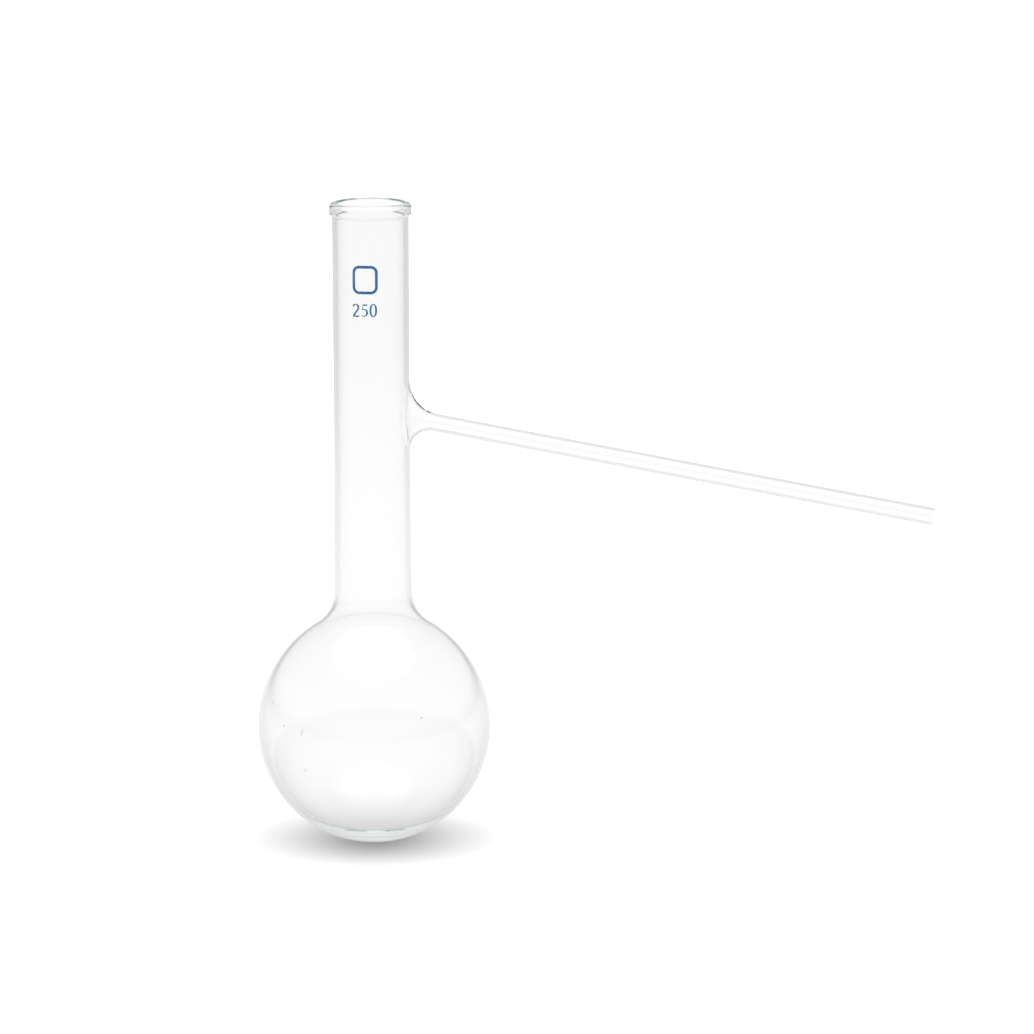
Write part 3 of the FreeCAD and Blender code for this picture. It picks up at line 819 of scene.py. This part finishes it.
floor_grid = np.array([[-1, -1, 0], [1, -1, 0], [1, 1, 0], [-1, 1, 0]]) * FLOOR_REACH
floor = mesh_from("floor", floor_grid, np.array([[0, 1, 2, 3]]))
floor_material, nodes, links, shader, output = new_material("pale_floor")
nodes.remove(shader)
path = nodes.new("ShaderNodeLightPath")
place = nodes.new("ShaderNodeTexCoord")
far = nodes.new("ShaderNodeVectorMath")
far.operation = "LENGTH"
links.new(place.outputs["Object"], far.inputs[0])
# a painted pool of light: mirrored rays see the floor darker further from the flask
outside_pool = ranged(nodes, links, far.outputs["Value"], POOL, (0, 1))
crossed, stayed_in_wall = crossed_hollow(nodes, links, path)
far_loss = math_node(nodes, links, "MULTIPLY_ADD", crossed, LOST_INSIDE_FAR, LOST_FAR)
near_left = math_node(nodes, links, "MULTIPLY_ADD", crossed, -LOST_INSIDE, LEFT_IN_POOL)
pool_loss = math_node(nodes, links, "MULTIPLY", outside_pool, far_loss)
left = math_node(nodes, links, "SUBTRACT", near_left, pool_loss)
faded = ranged(nodes, links, far.outputs["Value"], FADES, (0, 1))
faded = math_node(nodes, links, "MULTIPLY", faded, stayed_in_wall)
left = math_node(nodes, links, "MULTIPLY_ADD", faded, -LOST_AT_HORIZON, left)
mirrored = after_mirrors(nodes, links, path, left)
by_glass = arrives_by_glass(nodes, links, path)


def lit_and_lit_by_itself(diffuse_share, own_light):
    """A matt surface and its own light, both multiplied by what the mirror reflections leave."""
    matt = nodes.new("ShaderNodeBsdfDiffuse")
    glow = nodes.new("ShaderNodeEmission")
    both = nodes.new("ShaderNodeAddShader")
    links.new(math_node(nodes, links, "MULTIPLY", mirrored, diffuse_share), matt.inputs["Color"])
    links.new(math_node(nodes, links, "MULTIPLY", mirrored, own_light), glow.inputs["Strength"])
    links.new(matt.outputs[0], both.inputs[0])
    links.new(glow.outputs[0], both.inputs[1])
    return both.outputs[0]


# the floor's own light for the camera dips near the bulb: a painted shadow
glow_with_painted_shadow = ranged(nodes, links, far.outputs["Value"], PAINTED_SHADOW_FADE, FLOOR_GLOW_AND_PAINTED_SHADOW)
camera_glow_with_painted_shadow = math_node(nodes, links, "MULTIPLY", path.outputs["Is Camera Ray"], glow_with_painted_shadow)
mix = nodes.new("ShaderNodeMixShader")
links.new(by_glass, mix.inputs[0])
links.new(lit_and_lit_by_itself(FLOOR_COLOUR, camera_glow_with_painted_shadow), mix.inputs[1])
links.new(lit_and_lit_by_itself(SHADOW_BY_GLASS, SEEN_BY_GLASS), mix.inputs[2])
links.new(mix.outputs[0], output.inputs["Surface"])
floor.data.materials.append(floor_material)
print("floor reaches", FLOOR_REACH, "m, the pool of light", POOL[0], "m")

# %% [markdown]
# The light comes from all round, and more of it from softboxes left and right, so the shadow under the bulb
# is soft and longer sideways than it is deep. Rays that arrive by glass see walls that are white low down and
# greyer above, and a bright softbox overhead, which shows as pale patches on the bulb.

# %% Light
ROOM_LIGHT = 0.31
SIDE_LIGHT = 2.78  # times the square of the direction's X
HORIZON, CEILING, SOFTBOX = 0.98, 0.86, 2.2
DARKENS = np.sin(np.radians((12, 42)))  # degrees above the horizon, from white walls to the grey ceiling
BRIGHTENS = np.sin(np.radians((52, 72)))  # and from there to the softbox
LEFT_IN_ROOM = 0.88
DIM_WALL = np.sin(np.radians((1, 10)))  # where the table's dim far end passes into the walls
DIM_WALL_INSIDE = np.sin(np.radians((2, 42)))  # the same for rays that crossed the hollow inside
BOUNCES = 512  # the thick floor of the bulb guides light round its edge, which takes many reflections
scene = bpy.context.scene
scene.view_settings.view_transform = "Standard"
scene.cycles.max_bounces = scene.cycles.glossy_bounces = scene.cycles.transmission_bounces = BOUNCES
scene.cycles.caustics_reflective = scene.cycles.caustics_refractive = False  # so the glass casts a shadow
world = bpy.data.worlds.new("studio")
scene.world = world
world.use_nodes = True
nodes, links = world.node_tree.nodes, world.node_tree.links
background = nodes["Background"]
background.inputs["Color"].default_value = (1, 1, 1, 1)
path = nodes.new("ShaderNodeLightPath")
place = nodes.new("ShaderNodeTexCoord")
direction = nodes.new("ShaderNodeSeparateXYZ")
links.new(place.outputs["Generated"], direction.inputs[0])
walls = ranged(nodes, links, direction.outputs["Z"], DARKENS, (HORIZON, CEILING))
overhead = ranged(nodes, links, direction.outputs["Z"], BRIGHTENS, (0, SOFTBOX - CEILING))
room = math_node(nodes, links, "ADD", walls, overhead)
crossed, stayed_in_wall = crossed_hollow(nodes, links, path)
dim_wall = ranged(nodes, links, direction.outputs["Z"], DIM_WALL, (LOST_AT_HORIZON + LOST_FAR, 0))
lowest = LOST_INSIDE + LOST_INSIDE_FAR + LOST_FAR
inside = ranged(nodes, links, direction.outputs["Z"], DIM_WALL_INSIDE, (lowest, LOST_INSIDE))
wall_loss = math_node(nodes, links, "MULTIPLY", stayed_in_wall, dim_wall)
loss = math_node(nodes, links, "MULTIPLY_ADD", crossed, inside, wall_loss)
left = math_node(nodes, links, "SUBTRACT", LEFT_IN_ROOM, loss)
seen = math_node(nodes, links, "MULTIPLY", room, after_mirrors(nodes, links, path, left))
by_glass = arrives_by_glass(nodes, links, path)
no_glass = math_node(nodes, links, "SUBTRACT", 1.0, by_glass)
sideways = math_node(nodes, links, "MULTIPLY", direction.outputs["X"], direction.outputs["X"])
lighting = math_node(nodes, links, "MULTIPLY_ADD", sideways, SIDE_LIGHT, ROOM_LIGHT)
plain = math_node(nodes, links, "MULTIPLY", no_glass, lighting)
strength = math_node(nodes, links, "MULTIPLY_ADD", seen, by_glass, plain)
strength = math_node(nodes, links, "ADD", strength, path.outputs["Is Camera Ray"])
links.new(strength, background.inputs["Strength"])
print(f"light on a level surface {ROOM_LIGHT + SIDE_LIGHT / 4:.2f}")
